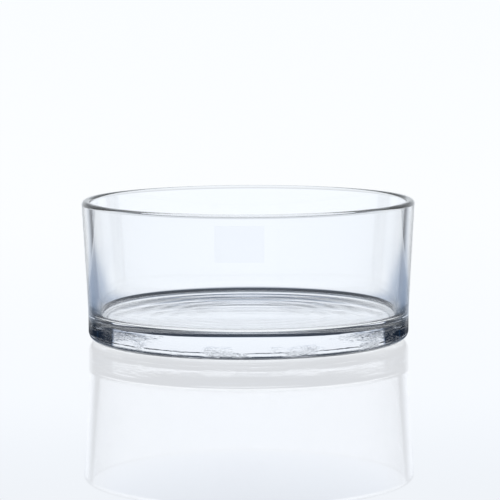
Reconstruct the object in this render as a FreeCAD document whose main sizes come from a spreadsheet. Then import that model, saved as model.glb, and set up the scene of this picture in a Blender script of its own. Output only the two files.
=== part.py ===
import FreeCAD, Part
import math
import os
import Sketcher
from FreeCAD import Vector

# A pressed clear-glass bowl for floating candles, with one bare clear film label on its wall.
# Origin: centre of the face that the bowl rests on. +Z is the bowl's axis, up towards the rim.
# The label faces -Y, the front.

doc = FreeCAD.newDocument("FloatingCandleBowl")


# Driving dimensions, in millimetres and degrees

SIZES = [
    # Outside of the bowl: a nearly upright band round the heavy base, then a leaning wall
    ("rim_radius", 95.0),
    ("bowl_height", 80.0),
    ("foot_radius", 91.5),
    ("band_height", 17.0),
    ("band_draft", 0.15),
    ("heel_round", 5.5),
    # Hollow, set by the wall at the rim and at the foot, with a slightly dished floor
    ("rim_wall", 5.0),
    ("foot_wall", 6.3),
    ("floor_thickness", 15.4),
    ("floor_dish", 1.3),
    ("floor_corner_round", 2.4),
    # Fire-polished lip, rounded by these shares of the wall there
    ("lip_outer_round_share", 0.46),
    ("lip_inner_round_share", 0.40),
    # Recess under the foot, which leaves a ring to stand on
    ("standing_ring_width", 9.5),
    ("recess_depth", 1.0),
    ("recess_bevel", 0.6),
    ("recess_edge_round", 0.3),
    # Film label
    ("label_width", 27.0),
    ("label_tall", 20.0),
    ("label_below_rim", 6.0),
    ("label_sideways", -4.8),
    ("label_front_bearing", -90.0),
    ("label_film", 0.1),
    ("label_adhesive", 0.2),
]

sheet = doc.addObject("Spreadsheet::Sheet", "Sizes")
for row, (alias, value) in enumerate(SIZES, start=1):
    sheet.set(f"A{row}", alias.replace("_", " "))
    sheet.set(f"B{row}", str(value))
    sheet.setAlias(f"B{row}", alias)
doc.recompute()


# Sketch and body helpers

def origin_plane(body, role):
    """The body's own origin plane with this role, such as XZ_Plane."""
    return next(f for f in body.Origin.OriginFeatures if f.Role == role)


def new_body(name):
    body = doc.addObject("PartDesign::Body", name)
    body.Label = name
    return body


def value_of(expression):
    """The present value of an expression on the sheet, for the first drawing of a sketch."""
    return 0 if expression is None else float(sheet.evalExpression(expression))


def dish_arc(lowest, edge):
    """The arc from a point on the axis out to a higher edge, level where it meets the axis."""
    depth = edge.y - lowest.y
    radius = (edge.x * edge.x + depth * depth) / (2 * depth)
    circle = Part.Circle(Vector(0, lowest.y + radius, 0), Vector(0, 0, 1), radius)
    down = -math.pi / 2
    return Part.ArcOfCircle(circle, down, down + math.asin(edge.x / radius))


def tie(sketch, side, point, kind, name, expression, value):
    """Binds one coordinate of a corner to its expression, or to the axis where there is none."""
    if expression is None:
        axis = -2 if kind == "DistanceX" else -1
        sketch.addConstraint(Sketcher.Constraint("PointOnObject", side, point, axis))
        return
    made = sketch.addConstraint(Sketcher.Constraint(kind, -1, 1, side, point, value))
    sketch.renameConstraint(made, name)
    sketch.setExpression(f"Constraints.{name}", expression)


def closed_outline(body, name, corners, dished_to=None):
    """A closed outline on the XZ plane, in order of its corners.

    Each corner is (name, distance from the axis, height). Both are expressions on the sheet,
    or None where the corner lies on the axis or on the resting face. All sides are straight
    but the one that ends at the corner named dished_to, which lies on the axis: that side is
    an arc about a point on the axis, above it.
    """
    sketch = body.newObject("Sketcher::SketchObject", name)
    sketch.AttachmentSupport = [(origin_plane(body, "XZ_Plane"), "")]
    sketch.MapMode = "FlatFace"
    places = [
        Vector(value_of(across), value_of(up), 0)
        for _, across, up in corners
    ]
    count = len(corners)
    starts = []
    ends = []
    for i in range(count):
        after = (i + 1) % count
        if corners[after][0] == dished_to:
            # The arc is drawn from the axis outwards, so the outline enters it at its far end
            sketch.addGeometry(dish_arc(places[after], places[i]), False)
            starts.append(2)
            ends.append(1)
        else:
            sketch.addGeometry(Part.LineSegment(places[i], places[after]), False)
            starts.append(1)
            ends.append(2)
    for i in range(count):
        after = (i + 1) % count
        sketch.addConstraint(Sketcher.Constraint("Coincident", i, ends[i], after, starts[after]))
        if corners[after][0] == dished_to:
            sketch.addConstraint(Sketcher.Constraint("PointOnObject", i, 3, -2))
    for i, (corner, across, up) in enumerate(corners):
        tie(sketch, i, starts[i], "DistanceX", f"{corner}_across", across, places[i].x)
        tie(sketch, i, starts[i], "DistanceY", f"{corner}_up", up, places[i].y)
    return sketch


def round_edge(body, name, radius, across, up):
    """Rounds the circular edge that lies nearest to this distance from the axis and height."""
    doc.recompute()
    sharp = body.Tip
    want_radius = value_of(across)
    want_up = value_of(up)
    edges = [(n, e) for n, e in enumerate(sharp.Shape.Edges, start=1) if not e.Degenerated]
    circles = [(n, e) for n, e in edges if isinstance(e.Curve, Part.Circle)]
    nearest = min(
        circles,
        key=lambda c: abs(c[1].Curve.Radius - want_radius) + abs(c[1].Curve.Center.z - want_up),
    )
    fillet = body.newObject("PartDesign::Fillet", name)
    fillet.Base = (sharp, [f"Edge{nearest[0]}"])
    fillet.setExpression("Radius", radius)


# Pressed glass bowl: one solid of revolution with a thick floor and walls that thin upwards

RING_INNER_RADIUS = "Sizes.foot_radius - Sizes.standing_ring_width"
RECESS_RADIUS = f"{RING_INNER_RADIUS} - Sizes.recess_bevel"
BAND_TOP_RADIUS = "(Sizes.foot_radius + Sizes.band_draft)"
MOUTH_RADIUS = "Sizes.rim_radius - Sizes.rim_wall"
FLOOR_RADIUS = "Sizes.foot_radius - Sizes.foot_wall"
FLOOR_ROUND = "Sizes.floor_corner_round"
HEEL_ROUND = "Sizes.heel_round"
LIP_OUTER_ROUND = "Sizes.rim_wall * Sizes.lip_outer_round_share"
LIP_INNER_ROUND = "Sizes.rim_wall * Sizes.lip_inner_round_share"
RECESS_ROUND = "Sizes.recess_edge_round"

bowl = new_body("glass_bowl")
bowl_outline = closed_outline(bowl, "bowl_outline", [
    ("recess_centre", None, "Sizes.recess_depth"),
    ("recess_edge", RECESS_RADIUS, "Sizes.recess_depth"),
    ("ring_inner", RING_INNER_RADIUS, None),
    ("heel", "Sizes.foot_radius", None),
    ("band_top", BAND_TOP_RADIUS, "Sizes.band_height"),
    ("lip_outer", "Sizes.rim_radius", "Sizes.bowl_height"),
    ("lip_inner", MOUTH_RADIUS, "Sizes.bowl_height"),
    ("floor_corner", FLOOR_RADIUS, "Sizes.floor_thickness"),
    ("floor_centre", None, "Sizes.floor_thickness - Sizes.floor_dish"),
], dished_to="floor_centre")
blank = bowl.newObject("PartDesign::Revolution", "bowl_blank")
blank.Profile = bowl_outline
blank.ReferenceAxis = (bowl_outline, ["V_Axis"])
blank.Angle = 360
bowl.Tip = blank

round_edge(bowl, "floor_corner_fillet", FLOOR_ROUND, FLOOR_RADIUS, "Sizes.floor_thickness")
round_edge(bowl, "heel_fillet", HEEL_ROUND, "Sizes.foot_radius", None)
round_edge(bowl, "lip_outer_fillet", LIP_OUTER_ROUND, "Sizes.rim_radius", "Sizes.bowl_height")
round_edge(bowl, "lip_inner_fillet", LIP_INNER_ROUND, MOUTH_RADIUS, "Sizes.bowl_height")
round_edge(bowl, "recess_fillet", RECESS_ROUND, RECESS_RADIUS, "Sizes.recess_depth")
round_edge(bowl, "standing_ring_fillet", RECESS_ROUND, RING_INNER_RADIUS, None)


# Clear film label: a thin curved sheet on the leaning outer wall, front and high up, with its
# layer of adhesive between it and the glass

LABEL_HEAD = "(Sizes.bowl_height - Sizes.label_below_rim)"
LABEL_FOOT = f"({LABEL_HEAD} - Sizes.label_tall)"
LABEL_MIDDLE = f"({LABEL_HEAD} - Sizes.label_tall / 2)"
WALL_RISE = "(Sizes.bowl_height - Sizes.band_height)"
WALL_LEAN = f"(Sizes.rim_radius - {BAND_TOP_RADIUS}) / {WALL_RISE}"
WALL_AT_HEAD = f"{BAND_TOP_RADIUS} + ({LABEL_HEAD} - Sizes.band_height) * {WALL_LEAN}"
WALL_AT_FOOT = f"{BAND_TOP_RADIUS} + ({LABEL_FOOT} - Sizes.band_height) * {WALL_LEAN}"
WALL_AT_MIDDLE = f"({BAND_TOP_RADIUS} + ({LABEL_MIDDLE} - Sizes.band_height) * {WALL_LEAN})"
FILM_BACK = "Sizes.label_adhesive"
FILM_FACE = "Sizes.label_adhesive + Sizes.label_film"
LABEL_TURN = f"asin(Sizes.label_sideways / {WALL_AT_MIDDLE}) + Sizes.label_front_bearing * 1 deg"

label = new_body("clear_label")
label_outline = closed_outline(label, "label_outline", [
    ("back_foot", f"{WALL_AT_FOOT} + {FILM_BACK}", LABEL_FOOT),
    ("face_foot", f"{WALL_AT_FOOT} + {FILM_FACE}", LABEL_FOOT),
    ("face_head", f"{WALL_AT_HEAD} + {FILM_FACE}", LABEL_HEAD),
    ("back_head", f"{WALL_AT_HEAD} + {FILM_BACK}", LABEL_HEAD),
])
film = label.newObject("PartDesign::Revolution", "label_film")
film.Profile = label_outline
film.ReferenceAxis = (label_outline, ["V_Axis"])
film.Midplane = True
film.setExpression("Angle", f"Sizes.label_width / {WALL_AT_MIDDLE} * 1 rad")
label.Tip = film
label.setExpression(
    "Placement",
    "create(<<placement>>; create(<<vector>>; 0; 0; 0); "
    f"create(<<rotation>>; create(<<vector>>; 0; 0; 1); {LABEL_TURN}))",
)


# Every object is checked, and then each piece is written to its own file

doc.recompute()
for item in doc.Objects:
    if "Invalid" in item.State or "Error" in item.State:
        raise RuntimeError(f"{item.Name} did not build: {item.State}")

PIECES = [bowl, label]
for piece in PIECES:
    if piece.Shape.isNull() or not piece.Shape.isValid():
        raise RuntimeError(f"{piece.Label} has no valid shape")

os.makedirs("parts", exist_ok=True)
for piece in PIECES:
    piece.Shape.exportStep(f"parts/{piece.Label}.step")
    box = piece.Shape.optimalBoundingBox()
    print(
        f"{piece.Label}: {len(piece.Shape.Solids)} solid, {piece.Shape.Volume / 1000:.1f} cm3, "
        f"x {box.XMin:.2f} to {box.XMax:.2f}, y {box.YMin:.2f} to {box.YMax:.2f}, "
        f"z {box.ZMin:.2f} to {box.ZMax:.2f}"
    )
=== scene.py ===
import math

import bmesh
import bpy
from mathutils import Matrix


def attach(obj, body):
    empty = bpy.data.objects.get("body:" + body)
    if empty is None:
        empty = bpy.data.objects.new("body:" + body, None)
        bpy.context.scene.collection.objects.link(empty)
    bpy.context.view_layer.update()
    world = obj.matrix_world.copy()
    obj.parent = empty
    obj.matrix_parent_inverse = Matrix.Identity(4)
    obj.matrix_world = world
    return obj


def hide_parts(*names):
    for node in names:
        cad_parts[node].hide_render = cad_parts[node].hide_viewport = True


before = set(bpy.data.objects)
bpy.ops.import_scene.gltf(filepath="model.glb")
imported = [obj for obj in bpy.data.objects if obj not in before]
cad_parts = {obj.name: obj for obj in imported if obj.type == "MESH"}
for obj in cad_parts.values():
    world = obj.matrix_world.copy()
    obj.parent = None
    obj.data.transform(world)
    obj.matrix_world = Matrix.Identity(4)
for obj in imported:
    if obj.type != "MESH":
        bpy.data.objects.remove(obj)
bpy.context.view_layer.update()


# Glass bowl
# One gob of clear soda-lime glass, pressed in a mould: a heavy dished floor, walls that thin
# upwards, a fire-polished lip, and a shallow recess under the foot that leaves a ring to stand on.

RIM_RADIUS = 0.0950
BOWL_HEIGHT = 0.0800
FOOT_RADIUS = 0.0915
BAND_HEIGHT = 0.0170
BAND_DRAFT = 0.00015
BAND_TOP_RADIUS = FOOT_RADIUS + BAND_DRAFT
BAND_TOP_BEND = 0.0035
HEEL_ROUND = 0.0055
RIM_WALL = 0.0050
MOUTH_RADIUS = RIM_RADIUS - RIM_WALL
FOOT_WALL = 0.0063
FLOOR_RADIUS = FOOT_RADIUS - FOOT_WALL
FLOOR_THICKNESS = 0.0154
FLOOR_DISH = 0.0013
FLOOR_STEPS = 16
FLOOR_CORNER_ROUND = 0.0024
LIP_OUTER_ROUND = 0.46 * RIM_WALL
LIP_INNER_ROUND = 0.40 * RIM_WALL
STANDING_RING_WIDTH = 0.0095
RING_INNER_RADIUS = FOOT_RADIUS - STANDING_RING_WIDTH
RECESS_DEPTH = 0.0010
RECESS_BEVEL = 0.0006
RECESS_RADIUS = RING_INNER_RADIUS - RECESS_BEVEL
RECESS_EDGE_ROUND = 0.0003

SQUARE = math.pi / 2
BAND_LEAN = math.atan((BAND_TOP_RADIUS - FOOT_RADIUS) / BAND_HEIGHT)
OUTER_LEAN = math.atan((RIM_RADIUS - BAND_TOP_RADIUS) / (BOWL_HEIGHT - BAND_HEIGHT))
INNER_LEAN = math.atan((MOUTH_RADIUS - FLOOR_RADIUS) / (BOWL_HEIGHT - FLOOR_THICKNESS))
FLOOR_LEAN = math.atan(2 * FLOOR_DISH / FLOOR_RADIUS)
RECESS_SLOPE = math.atan(RECESS_DEPTH / RECESS_BEVEL)

BOWL_SIDES = 256
BROAD_SEGMENTS = 16
LIP_SEGMENTS = 10
BEND_SEGMENTS = 6
FINE_SEGMENTS = 4
SAME_PLACE = 0.00005
SMOOTH_BELOW = math.radians(50)
FACE_AREA_WEIGHT = 100


def select_ring(piece, radius, height):
    """Selects only the circle of edges of this radius and height, in edit mode."""
    bpy.ops.mesh.select_mode(type="VERT")
    bpy.ops.mesh.select_all(action="DESELECT")
    mesh = bmesh.from_edit_mesh(piece.data)
    for vertex in mesh.verts:
        across = math.hypot(vertex.co.x, vertex.co.y)
        off = max(abs(across - radius), abs(vertex.co.z - height))
        vertex.select = off < SAME_PLACE
    mesh.select_flush(True)
    bmesh.update_edit_mesh(piece.data)
    bpy.ops.mesh.select_mode(type="EDGE")


def select_cap(piece, height):
    """Selects only the flat many-sided face at this height, in edit mode."""
    bpy.ops.mesh.select_mode(type="FACE")
    bpy.ops.mesh.select_all(action="DESELECT")
    mesh = bmesh.from_edit_mesh(piece.data)
    for face in mesh.faces:
        centre = face.calc_center_median()
        face.select = len(face.verts) == BOWL_SIDES and abs(centre.z - height) < SAME_PLACE
    bmesh.update_edit_mesh(piece.data)


def extrude_upwards(rise):
    bpy.ops.mesh.extrude_region_move(TRANSFORM_OT_translate={"value": (0, 0, rise)})


def resize_about_axis(share):
    bpy.ops.transform.resize(value=(share, share, 1), center_override=(0, 0, 0))


def bevel_ring(piece, radius, height, setback, segments):
    """Rounds a circular edge, starting this far from it on both faces that meet there."""
    select_ring(piece, radius, height)
    bpy.ops.mesh.bevel(
        offset=setback, offset_type="OFFSET", segments=segments, profile=0.5, affect="EDGES"
    )


def round_ring(piece, radius, height, round_radius, inner_angle, segments):
    """Rounds a circular edge. inner_angle is the angle between the two faces that meet there."""
    bevel_ring(piece, radius, height, round_radius / math.tan(inner_angle / 2), segments)


bpy.ops.object.select_all(action="DESELECT")
bpy.ops.mesh.primitive_cylinder_add(
    vertices=BOWL_SIDES,
    radius=FOOT_RADIUS,
    depth=BAND_HEIGHT,
    end_fill_type="NGON",
    location=(0, 0, BAND_HEIGHT / 2),
)
bowl = bpy.context.object
bowl.name = "glass_bowl_body"
bpy.ops.object.transform_apply(location=True, rotation=True, scale=True)
bpy.ops.object.mode_set(mode="EDIT")

# The wall leans out from the top of the base band, and the hollow narrows down to the floor
select_cap(bowl, BAND_HEIGHT)
resize_about_axis(BAND_TOP_RADIUS / FOOT_RADIUS)
extrude_upwards(BOWL_HEIGHT - BAND_HEIGHT)
resize_about_axis(RIM_RADIUS / BAND_TOP_RADIUS)
bpy.ops.mesh.inset(thickness=RIM_WALL)
extrude_upwards(FLOOR_THICKNESS - BOWL_HEIGHT)
resize_about_axis(FLOOR_RADIUS / MOUTH_RADIUS)

# The floor is dished: each step nearer to the middle lies a little lower
for step in range(1, FLOOR_STEPS):
    bpy.ops.mesh.inset(thickness=FLOOR_RADIUS / FLOOR_STEPS)
    outer_share = 1 - (step - 1) / FLOOR_STEPS
    inner_share = 1 - step / FLOOR_STEPS
    fall = FLOOR_DISH * (outer_share ** 2 - inner_share ** 2)
    bpy.ops.transform.translate(value=(0, 0, -fall))

# The recess under the foot
select_cap(bowl, 0)
bpy.ops.mesh.inset(thickness=STANDING_RING_WIDTH)
bpy.ops.mesh.inset(thickness=RECESS_BEVEL)
bpy.ops.transform.translate(value=(0, 0, RECESS_DEPTH))

round_ring(
    bowl, FLOOR_RADIUS, FLOOR_THICKNESS, FLOOR_CORNER_ROUND,
    SQUARE + INNER_LEAN - FLOOR_LEAN, BROAD_SEGMENTS,
)
round_ring(bowl, FOOT_RADIUS, 0, HEEL_ROUND, SQUARE + BAND_LEAN, BROAD_SEGMENTS)
round_ring(bowl, RIM_RADIUS, BOWL_HEIGHT, LIP_OUTER_ROUND, SQUARE - OUTER_LEAN, LIP_SEGMENTS)
round_ring(bowl, MOUTH_RADIUS, BOWL_HEIGHT, LIP_INNER_ROUND, SQUARE + INNER_LEAN, LIP_SEGMENTS)
for edge_radius, edge_height in ((RECESS_RADIUS, RECESS_DEPTH), (RING_INNER_RADIUS, 0)):
    round_ring(
        bowl, edge_radius, edge_height, RECESS_EDGE_ROUND, math.pi - RECESS_SLOPE, FINE_SEGMENTS
    )
bevel_ring(bowl, BAND_TOP_RADIUS, BAND_HEIGHT, BAND_TOP_BEND, BEND_SEGMENTS)
bpy.ops.mesh.select_all(action="SELECT")
bpy.ops.mesh.normals_make_consistent(inside=False)
bpy.ops.object.mode_set(mode="OBJECT")

# Light bends by the shading normals, so these follow the true faces
bpy.ops.object.shade_smooth_by_angle(angle=SMOOTH_BELOW)
weighted = bowl.modifiers.new("true_normals", "WEIGHTED_NORMAL")
weighted.mode = "FACE_AREA"
weighted.weight = FACE_AREA_WEIGHT
weighted.keep_sharp = False
bpy.ops.object.modifier_apply(modifier=weighted.name)


class Wire:
    """One output of a shader node. Sums, products and the like of wires add Math nodes."""

    def __init__(self, tree, socket):
        self.tree = tree
        self.socket = socket

    def add(self, kind, output=0, settings=None, inputs=None):
        """Any other node, with its settings and the values or wires of its inputs."""
        made = self.tree.nodes.new(kind)
        for name, value in (settings or {}).items():
            setattr(made, name, value)
        for name, value in (inputs or {}).items():
            if isinstance(value, Wire):
                self.tree.links.new(value.socket, made.inputs[name])
            else:
                made.inputs[name].default_value = value
        return Wire(self.tree, made.outputs[output])

    def light_path(self, output):
        return self.add("ShaderNodeLightPath", output=output)

    def coordinate(self, axis):
        """The X, Y or Z of this place or direction."""
        return self.add("ShaderNodeSeparateXYZ", output=axis, inputs={0: self})

    def noise(self, scale, detail):
        """Soft random values about 0.5 at this place. A scale of 100 gives features of 1 cm."""
        return self.add(
            "ShaderNodeTexNoise", inputs={"Vector": self, "Scale": scale, "Detail": detail}
        )

    def ramp(self, start, end):
        """0 where this value is at start, 1 where it is at end, smooth between and held beyond."""
        return self.add(
            "ShaderNodeMapRange",
            settings={"interpolation_type": "SMOOTHSTEP"},
            inputs={"Value": self, "From Min": start, "From Max": end},
        )

    def colour(self, at_zero, at_one):
        """The colour between these two that lies at this share of the way."""
        return self.add(
            "ShaderNodeMix", output="Result", settings={"data_type": "RGBA"},
            inputs={0: self, 6: at_zero, 7: at_one},
        )

    def surface(self, at_zero, at_one):
        """Two shaders mixed, with this share of the second."""
        return self.add("ShaderNodeMixShader", inputs={0: self, 1: at_zero, 2: at_one})

    def maths(self, operation, *values):
        inputs = dict(enumerate(values))
        return self.add("ShaderNodeMath", settings={"operation": operation}, inputs=inputs)

    def absolute(self):
        return self.maths("ABSOLUTE", self)

    def larger(self, other):
        return self.maths("MAXIMUM", self, other)

    def __add__(self, other):
        return self.maths("ADD", self, other)

    def __radd__(self, other):
        return self.maths("ADD", other, self)

    def __rsub__(self, other):
        return self.maths("SUBTRACT", other, self)

    def __mul__(self, other):
        return self.maths("MULTIPLY", self, other)

    def __rmul__(self, other):
        return self.maths("MULTIPLY", other, self)

    def __truediv__(self, other):
        return self.maths("DIVIDE", self, other)


def new_material(name):
    """An empty material, and a wire to start its nodes from."""
    material = bpy.data.materials.new(name)
    material.use_nodes = True
    material.node_tree.nodes.clear()
    return material, Wire(material.node_tree, None)


def set_surface(material, shader):
    surface = material.node_tree.nodes.new("ShaderNodeOutputMaterial")
    material.node_tree.links.new(shader.socket, surface.inputs["Surface"])


GLASS_TINT = (0.985, 0.991, 1.0, 1)
GLASS_IOR = 1.52
RING_SPACING = 0.0105
RING_HEIGHT = 0.000020
RING_WANDER = 2.5
CHILL_HEIGHT = 0.000030
DEEP_CHILL_HEIGHT = 0.000170
SPECK_HEIGHT = 0.000220
STREAK_FLATNESS = 6.0

# Scale and detail of each noise
WANDER_NOISE = (14.0, 1.0)
STREAK_NOISE = (150.0, 3.0)
SPECK_NOISE = (420.0, 1.0)
PATCH_NOISE = (60.0, 2.0)

# Where the relief fades in, each from the place where there is none to where it is full
FLOOR_LOWEST = FLOOR_THICKNESS - FLOOR_DISH
RINGS_IN_FROM_WALL = (FLOOR_RADIUS, FLOOR_RADIUS - 0.006)
RINGS_OUT_FROM_MIDDLE = (0.020, 0.055)
RINGS_ON_FLOOR = (FLOOR_LOWEST - 0.004, FLOOR_LOWEST - 0.003)
CHILL_ON_OUTSIDE = (FOOT_RADIUS - 0.006, FOOT_RADIUS - 0.003)
CHILL_UNDER_BEND = (0.0130, 0.0110)
CHILL_IN_FROM_ENDS = (0.083, 0.079)
CHILL_ON_FRONT = (0.010, -0.050)
DEEP_CHILL_UPWARDS = (0.0030, 0.0095)
DEEP_CHILL_SIDEWAYS = (0.040, 0.072)
SPECKS_DOWNWARDS = (0.0090, 0.0040)
SPECKS_IN_PATCHES = (0.42, 0.64)

glass, shading = new_material("clear_pressed_glass")
place = shading.add("ShaderNodeTexCoord", output="Object")
across_x = place.coordinate("X")
across_y = place.coordinate("Y")
height = place.coordinate("Z")
radius = shading.maths("SQRT", across_x * across_x + across_y * across_y)

# Faint rings that the plunger left on the inner floor, not quite round
ring_phase = radius * (2 * math.pi / RING_SPACING) + place.noise(*WANDER_NOISE) * RING_WANDER
on_floor = (
    radius.ramp(*RINGS_IN_FROM_WALL)
    * radius.ramp(*RINGS_OUT_FROM_MIDDLE)
    * height.ramp(*RINGS_ON_FLOOR)
)
rings = shading.maths("SINE", ring_phase) * on_floor * RING_HEIGHT

# Chill marks of the mould on the front of the base band: flat streaks, deepest under its bend
# towards both ends, and patches of fine specks lower down
flat_place = shading.add(
    "ShaderNodeMapping", inputs={"Vector": place, "Scale": (1.0, 1.0, STREAK_FLATNESS)}
)
streaks = flat_place.noise(*STREAK_NOISE)
specks = flat_place.noise(*SPECK_NOISE)
patches = place.noise(*PATCH_NOISE)
off_middle = across_x.absolute()
on_band = (
    radius.ramp(*CHILL_ON_OUTSIDE)
    * height.ramp(*CHILL_UNDER_BEND)
    * off_middle.ramp(*CHILL_IN_FROM_ENDS)
    * across_y.ramp(*CHILL_ON_FRONT)
)
deep = height.ramp(*DEEP_CHILL_UPWARDS) * off_middle.ramp(*DEEP_CHILL_SIDEWAYS)
speckled = patches.ramp(*SPECKS_IN_PATCHES) * height.ramp(*SPECKS_DOWNWARDS)
chill = on_band * (
    streaks * (deep * DEEP_CHILL_HEIGHT + CHILL_HEIGHT) + specks * speckled * SPECK_HEIGHT
)
relief = shading.add("ShaderNodeBump", inputs={"Distance": 1.0, "Height": rings + chill})

clear = shading.add("ShaderNodeBsdfPrincipled", inputs={
    "Base Color": GLASS_TINT,
    "Roughness": 0.0,
    "IOR": GLASS_IOR,
    "Transmission Weight": 1.0,
    "Normal": relief,
})
see_through = shading.add("ShaderNodeBsdfTransparent")
set_surface(glass, shading.light_path("Is Shadow Ray").surface(clear, see_through))
bowl.data.materials.append(glass)
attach(bowl, "root")
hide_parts("glass_bowl")


# Clear label
# A small bare rectangle of clear film on the front of the wall, just under the lip. Its own
# adhesive holds it to the glass, and it follows the wall's curve and lean.

LABEL_WIDTH = 0.0270
LABEL_TALL = 0.0200
LABEL_BELOW_RIM = 0.0060
LABEL_HEAD = BOWL_HEIGHT - LABEL_BELOW_RIM
LABEL_FOOT = LABEL_HEAD - LABEL_TALL
LABEL_SIDEWAYS = -0.0048
LABEL_ADHESIVE = 0.0002
LABEL_FILM = 0.0001
LABEL_STEPS = 24
FILM_TINT = (0.984, 0.985, 0.989, 1)
SHEEN_TINT = (0.92, 0.95, 1.0, 1)
SHEEN_ROUGHNESS = 0.12
SHEEN_LEAST = 0.002
SHEEN_IN_STREAKS = 0.006
FILM_STREAK_NOISE = (260.0, 2.0)


def wall_radius(up):
    """The radius of the leaning outer wall at this height."""
    return BAND_TOP_RADIUS + (up - BAND_HEIGHT) * math.tan(OUTER_LEAN)


label_middle_radius = wall_radius(LABEL_HEAD - LABEL_TALL / 2)
label_angle = LABEL_WIDTH / label_middle_radius
label_turn = math.asin(LABEL_SIDEWAYS / label_middle_radius) - SQUARE

# The film's cross-section stands on the XZ plane, and is spun about the bowl's axis
bpy.ops.object.select_all(action="DESELECT")
bpy.ops.mesh.primitive_plane_add(size=1, location=(0, 0, 0))
label = bpy.context.object
label.name = "clear_label_film"
for vertex in label.data.vertices:
    up = LABEL_HEAD if vertex.co.y > 0 else LABEL_FOOT
    depth = LABEL_FILM if vertex.co.x > 0 else 0
    vertex.co = (wall_radius(up) + LABEL_ADHESIVE + depth, 0, up)
bpy.ops.object.mode_set(mode="EDIT")
bpy.ops.mesh.select_all(action="SELECT")
bpy.ops.transform.rotate(
    value=-(label_turn + label_angle / 2), orient_axis="Z", center_override=(0, 0, 0)
)
bpy.ops.mesh.spin(steps=LABEL_STEPS, angle=label_angle, center=(0, 0, 0), axis=(0, 0, 1))
bpy.ops.mesh.select_all(action="SELECT")
bpy.ops.mesh.normals_make_consistent(inside=False)
bpy.ops.object.mode_set(mode="OBJECT")

film, shading = new_material("clear_film")
place = shading.add("ShaderNodeTexCoord", output="Object")
sheen = shading.add(
    "ShaderNodeBsdfGlossy", inputs={"Color": SHEEN_TINT, "Roughness": SHEEN_ROUGHNESS}
)
through = shading.add("ShaderNodeBsdfTransparent", inputs={"Color": FILM_TINT})
sheen_share = SHEEN_LEAST + SHEEN_IN_STREAKS * place.noise(*FILM_STREAK_NOISE)
set_surface(film, sheen_share.surface(through, sheen))
label.data.materials.append(film)
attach(label, "root")
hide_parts("clear_label")


# Table
# A pale glossy table top that mirrors the bowl. Through the glass it is as pale, but for painted
# light: a dark painted shadow round the foot, edged by a bluish painted penumbra, and a painted
# shade and shadow behind it at both sides, which a Fresnel ramp shows only at low views.
# No lamp casts any of these, and the camera sees the table without them.

TABLE_REACH = 12.0
TABLE_SIDES = 96
TABLE_DROP = 0.0002
TABLE_IOR = 1.5
MIRROR_SHARE = 0.62
WHITE = (1.0, 1.0, 1.0, 1)
NEAR_PALE = (0.925, 0.955, 1.0, 1)
GLASS_SEES_PALE = (0.94, 0.972, 1.0, 1)
# Colours of the painted shade, painted penumbra and painted shadow that only the glass sees
GLASS_SEES_PAINTED_SHADE = (0.40, 0.49, 0.64, 1)
GLASS_SEES_PAINTED_PENUMBRA = (0.58, 0.75, 1.0, 1)
GLASS_SEES_PAINTED_SHADOW = (0.010, 0.016, 0.028, 1)
GLASS_SEES_STRENGTH = 1.05

# The shadows and the shade below are painted into the emission, for the glass only
# Where each part fades in, from none to full: by radius, by place along Y, and by share
SHADOW_FROM_FOOT = (0.0885, 0.0935)
SHADOW_FROM_OUTSIDE = (0.155, 0.122)
PAINTED_SIDE_SHADOW_FROM_FOOT = (0.090, 0.096)
PAINTED_SIDE_SHADOW_FROM_OUTSIDE = (0.165, 0.130)
SHADE_FROM_FOOT = (0.09, 0.15)
SHADE_FROM_OUTSIDE = (0.38, 0.27)
MIRROR_FROM_FOOT = (0.090, 0.150)
TOWARDS_CAMERA = (0.9, -0.6)
BEHIND_MIDDLE = (0.02, 0.08)
AT_SIDES = (0.48, 0.70)
AT_LOW_VIEWS = (0.22, 0.34)

bpy.ops.object.select_all(action="DESELECT")
bpy.ops.mesh.primitive_circle_add(vertices=TABLE_SIDES, radius=TABLE_REACH, fill_type="NGON")
table = bpy.context.object
table.name = "table_top"
table.location.z = -TABLE_DROP
bpy.ops.object.transform_apply(location=True, rotation=True, scale=True)

top, shading = new_material("pale_gloss_table")
place = shading.add("ShaderNodeTexCoord", output="Object")
across_x = place.coordinate("X")
across_y = place.coordinate("Y")
radius = shading.maths("SQRT", across_x * across_x + across_y * across_y)
gloss = shading.add("ShaderNodeFresnel", inputs={"IOR": TABLE_IOR})
# A Fresnel ramp keeps the painted shade and shadow at the sides to low viewing angles, so they
# change with where the camera stands
sides_at_low_views = (across_x.absolute() / radius).ramp(*AT_SIDES) * gloss.ramp(*AT_LOW_VIEWS)

# Painted shade behind the bowl at both sides, bluish, seen only through the glass
painted_side_shade = (
    sides_at_low_views
    * radius.ramp(*SHADE_FROM_FOOT)
    * radius.ramp(*SHADE_FROM_OUTSIDE)
    * across_y.ramp(*BEHIND_MIDDLE)
)
# Painted shadow at the sides, next to the foot
painted_side_shadow = (
    sides_at_low_views * radius.ramp(*PAINTED_SIDE_SHADOW_FROM_FOOT) * radius.ramp(*PAINTED_SIDE_SHADOW_FROM_OUTSIDE)
)
# Painted shadow: a dark ring round the foot that no lamp casts, seen only through the glass
painted_shadow_round_foot = radius.ramp(*SHADOW_FROM_FOOT) * radius.ramp(*SHADOW_FROM_OUTSIDE)
in_painted_shadow = painted_shadow_round_foot.larger(painted_side_shadow)
# From pale, through painted shade and a bluish painted penumbra, to the dark painted shadow
pale_with_painted_shade = painted_side_shade.colour(GLASS_SEES_PALE, GLASS_SEES_PAINTED_SHADE)
painted_penumbra = in_painted_shadow.colour(pale_with_painted_shade, GLASS_SEES_PAINTED_PENUMBRA)
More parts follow.
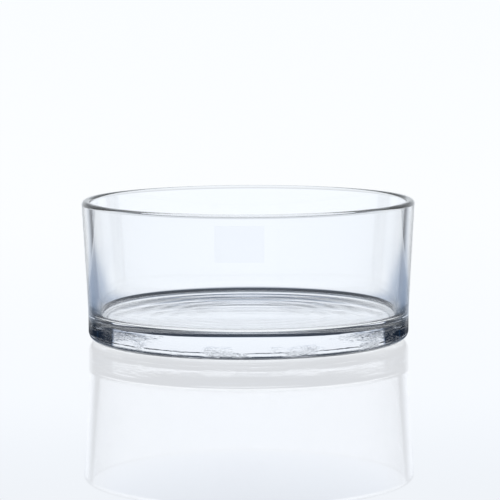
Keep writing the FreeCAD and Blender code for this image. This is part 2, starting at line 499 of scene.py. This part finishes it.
# An emission: the glass sees the pale table with its painted shade and shadow, and the camera sees
# the table without them
glass_sees_painted_shadow = shading.add("ShaderNodeEmission", inputs={
    "Color": in_painted_shadow.colour(painted_penumbra, GLASS_SEES_PAINTED_SHADOW),
    "Strength": GLASS_SEES_STRENGTH,
})
camera_sees = shading.add("ShaderNodeEmission", inputs={
    "Color": across_y.ramp(*TOWARDS_CAMERA).colour(WHITE, NEAR_PALE),
    "Strength": 1.0,
})
mirror = shading.add("ShaderNodeBsdfGlossy", inputs={"Color": WHITE, "Roughness": 0.0})
to_glass = (gloss * radius.ramp(*MIRROR_FROM_FOOT)).surface(glass_sees_painted_shadow, mirror)
to_camera = (gloss * MIRROR_SHARE).surface(camera_sees, mirror)
set_surface(top, shading.light_path("Is Camera Ray").surface(to_glass, to_camera))
table.data.materials.append(top)


# Black cards
# One upright card at each side, just out of the camera's view, so that the clear edges of the
# glass are drawn dark against the white behind them. Only the glass shows them: each is a dark
# emission, bluish at its soft edges, that paints dark reflections and a bluish painted half-shade
# into the glass alone.

# The two ends of the right-hand card on the table, as X and Y
CARD_NEAR = (0.160, 0.188)
CARD_FAR = (0.447, 0.298)
CARD_HEIGHT = 0.16
CARD_BLACK = (0.006, 0.009, 0.017, 1)
CARD_PAINTED_HALF_SHADE_EDGE = (0.04, 0.13, 0.27, 1)
SOLID_FROM_NEAR_END = (CARD_NEAR[0], CARD_NEAR[0] + 0.10)
SOLID_FROM_FAR_END = (CARD_FAR[0], CARD_FAR[0] - 0.010)
SOLID_FROM_TOP = (CARD_HEIGHT, CARD_HEIGHT * 0.7)
AFTER_FIRST_BOUNCE = 1.5

cardboard, shading = new_material("dark_card_for_glass_only")
place = shading.add("ShaderNodeTexCoord", output="Object")
card_x = place.coordinate("X").absolute()
solid_part = (
    card_x.ramp(*SOLID_FROM_NEAR_END)
    * card_x.ramp(*SOLID_FROM_FAR_END)
    * place.coordinate("Z").ramp(*SOLID_FROM_TOP)
)
# A dark emission that glows bluish at the soft edges: painted darkness and painted half-shade, not
# a lit card
black = shading.add("ShaderNodeEmission", inputs={
    "Color": solid_part.colour(CARD_PAINTED_HALF_SHADE_EDGE, CARD_BLACK),
    "Strength": 1.0,
})
# Hidden from camera rays and first mirror rays, so only the glass shows this painted dark
unseen = shading.add("ShaderNodeBsdfTransparent")
few_bounces = shading.maths("LESS_THAN", shading.light_path("Ray Depth"), AFTER_FIRST_BOUNCE)
first_mirror = shading.light_path("Is Glossy Ray") * few_bounces
hidden = shading.light_path("Is Camera Ray").larger(first_mirror)
set_surface(cardboard, (solid_part * (1 - hidden)).surface(unseen, black))

for side in (-1, 1):
    bpy.ops.object.select_all(action="DESELECT")
    bpy.ops.mesh.primitive_plane_add(size=1, location=(0, 0, 0))
    card = bpy.context.object
    card.name = "black_card_left" if side < 0 else "black_card_right"
    for vertex in card.data.vertices:
        end = CARD_NEAR if vertex.co.x < 0 else CARD_FAR
        vertex.co = (side * end[0], end[1], 0 if vertex.co.y < 0 else CARD_HEIGHT)
    card.data.materials.append(cardboard)


# Studio
# What the glass sees: a white backdrop that ends low, dark room beside and above it, a soft box
# overhead, white low at the front, and dim room behind the camera. The camera sees plain white
# instead, and so, for the most part, does what mirrors it.

STUDIO_DARK = (0.006, 0.011, 0.022, 1)
STUDIO_HALF_LIT = (0.45, 0.64, 1.0, 1)
STUDIO_BRIGHT = (0.900, 0.942, 1.0, 1)
STUDIO_STRENGTH = 1.05
MIRRORED_WHITE = (0.92, 0.965, 1.0, 1)
MIRRORED_SHARE = 0.7
HAZE_LEVEL = 0.02
BEHIND_CAMERA_LEVEL = 0.25
DEGREES = 180 / math.pi

# The world counts a ray's depth one higher than a surface does
WORLD_AFTER_FIRST_BOUNCE = AFTER_FIRST_BOUNCE + 1

# Where each light fades in, in degrees: sideways from straight behind the bowl, and upwards
BACKDROP_SIDES = (47, 44.5)
BACKDROP_TOP = (12, 9)
HAZE_SIDES = (51, 36)
SOFT_BOX_SIDES = (60, 51)
SOFT_BOX_BOTTOM = (50, 66)
FRONT_SIDES = (60, 68)
FRONT_TOP = (6.5, 2)
BEHIND_CAMERA_SIDES = (130, 155)
BEHIND_CAMERA_BOTTOM = (4, 12)

world = bpy.data.worlds.new("studio")
bpy.context.scene.world = world
world.use_nodes = True
world.node_tree.nodes.clear()
air = Wire(world.node_tree, None)
heading = air.add("ShaderNodeTexCoord", output="Generated")
sideways = air.maths("ARCTAN2", heading.coordinate("X").absolute(), heading.coordinate("Y"))
bearing = sideways * DEGREES
up = air.maths("ARCSINE", heading.coordinate("Z")) * DEGREES

backdrop = bearing.ramp(*BACKDROP_SIDES) * up.ramp(*BACKDROP_TOP)
haze = bearing.ramp(*HAZE_SIDES) * HAZE_LEVEL
soft_box = up.ramp(*SOFT_BOX_BOTTOM) * bearing.ramp(*SOFT_BOX_SIDES)
front = bearing.ramp(*FRONT_SIDES) * up.ramp(*FRONT_TOP)
behind_camera = (
    bearing.ramp(*BEHIND_CAMERA_SIDES) * up.ramp(*BEHIND_CAMERA_BOTTOM) * BEHIND_CAMERA_LEVEL
)
lit = backdrop.larger(haze).larger(soft_box).larger(front).larger(behind_camera)
bright = lit.colour(STUDIO_HALF_LIT, STUDIO_BRIGHT)
studio = air.add("ShaderNodeBackground", inputs={
    "Color": lit.colour(STUDIO_DARK, bright),
    "Strength": STUDIO_STRENGTH,
})
camera_ray = air.light_path("Is Camera Ray")
few_bounces = air.maths("LESS_THAN", air.light_path("Ray Depth"), WORLD_AFTER_FIRST_BOUNCE)
first_mirror = air.light_path("Is Glossy Ray") * few_bounces
plain = air.add("ShaderNodeBackground", inputs={
    "Color": camera_ray.colour(MIRRORED_WHITE, WHITE),
    "Strength": 1.0,
})
shown = camera_ray.larger(first_mirror * MIRRORED_SHARE).surface(studio, plain)
out = world.node_tree.nodes.new("ShaderNodeOutputWorld")
world.node_tree.links.new(shown.socket, out.inputs["Surface"])


# Camera
# The photograph's viewpoint: a long lens a little above the rim, fitted to the ellipses of the
# rim, the foot and the inner floor. Light may bend and mirror many times in the thick glass.

CAMERA_PLACE = (0.00098, -1.573, 0.2233)
CAMERA_DOWN = math.radians(6.262)
CAMERA_TURN = -0.0037
CAMERA_LENS = 199.3
CAMERA_REACH = 40
GLASS_BOUNCES = 32
MIRROR_BOUNCES = 16

camera_data = bpy.data.cameras.new("camera")
camera_data.lens = CAMERA_LENS
camera_data.clip_end = CAMERA_REACH
camera = bpy.data.objects.new("camera", camera_data)
scene = bpy.context.scene
scene.collection.objects.link(camera)
camera.location = CAMERA_PLACE
camera.rotation_mode = "ZXY"
camera.rotation_euler = (SQUARE - CAMERA_DOWN, 0, CAMERA_TURN)
scene.camera = camera
scene.view_settings.view_transform = "Standard"
scene.cycles.max_bounces = GLASS_BOUNCES
scene.cycles.transmission_bounces = GLASS_BOUNCES
scene.cycles.transparent_max_bounces = GLASS_BOUNCES
scene.cycles.glossy_bounces = MIRROR_BOUNCES
